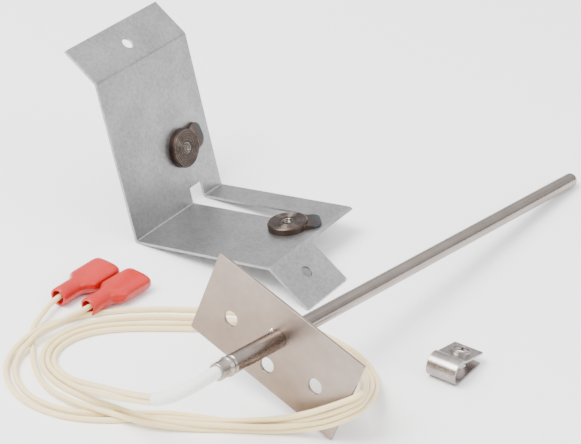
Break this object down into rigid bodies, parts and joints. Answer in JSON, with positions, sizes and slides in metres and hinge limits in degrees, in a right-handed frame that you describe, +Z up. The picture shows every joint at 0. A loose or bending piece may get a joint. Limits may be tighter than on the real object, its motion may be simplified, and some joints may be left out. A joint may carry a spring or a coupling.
{
  "type": "thermocouple",
  "caption": "Flange-mounted thermocouple probe with coiled fibreglass leads and spade terminals, with its bent mounting bracket and spring tube clip.",
  "frame": {"origin": "on the table, under the middle of the bounding box of the probe, bracket and clip", "axes": "+Z up from the table, +X to the right and +Y away, as the kit is laid out"},
  "size_m": [0.1638, 0.1644, 0.058],
  "materials": {
    "stainless": "satin stainless, lightly brushed",
    "sheath": "drawn stainless tube",
    "galvanised": "spangled coated sheet, matt",
    "weld_nut": "plain steel, blued and browned by welding",
    "spring_steel": "plated spring steel",
    "braze": "braze metal",
    "ceramic": "two-bore ceramic",
    "cement": "sealing cement",
    "element_wire": "thermocouple alloy",
    "splice": "nickel splice barrel",
    "sleeving": "woven glass sleeving",
    "lead": "saturated glass braid",
    "terminal_red": "translucent red insulation",
    "tinned_brass": "tin plated",
    "copper": "copper sleeve",
    "strand": "bare stranded end"
  },
  "bodies": {
    "probe": {"element_negative": "element_wire", "element_positive": "element_wire", "end_seal": "cement", "flange_braze": "braze", "flange_plate": "stainless", "hot_junction": "element_wire", "insulator_beads": "ceramic", "lead_coil": "lead", "lead_pair": "lead", "lead_sleeving": "sleeving", "lead_tail_negative": "lead", "lead_tail_positive": "lead", "receptacle_negative": "tinned_brass", "receptacle_positive": "tinned_brass", "sheath_tube": "sheath", "splice_barrels": "splice", "strand_end_negative": "strand", "strand_end_positive": "strand", "support_barrel_negative": "copper", "support_barrel_positive": "copper", "terminal_housing_negative": "terminal_red", "terminal_housing_positive": "terminal_red", "transition_sleeve": "stainless"},
    "bracket": {"bracket_sheet": "galvanised", "weld_nut_upper": "weld_nut", "weld_nut_lower": "weld_nut"},
    "clip": {"loop_clip": "spring_steel"}
  },
  "joints": [
    {"name": "bracket_lift", "type": "slide", "parent": "probe", "child": "bracket", "axis": [0, 0, 1], "range_m": [0, 0.06]},
    {"name": "clip_lift", "type": "slide", "parent": "probe", "child": "clip", "axis": [0, 0, 1], "range_m": [0, 0.04]}
  ]
}
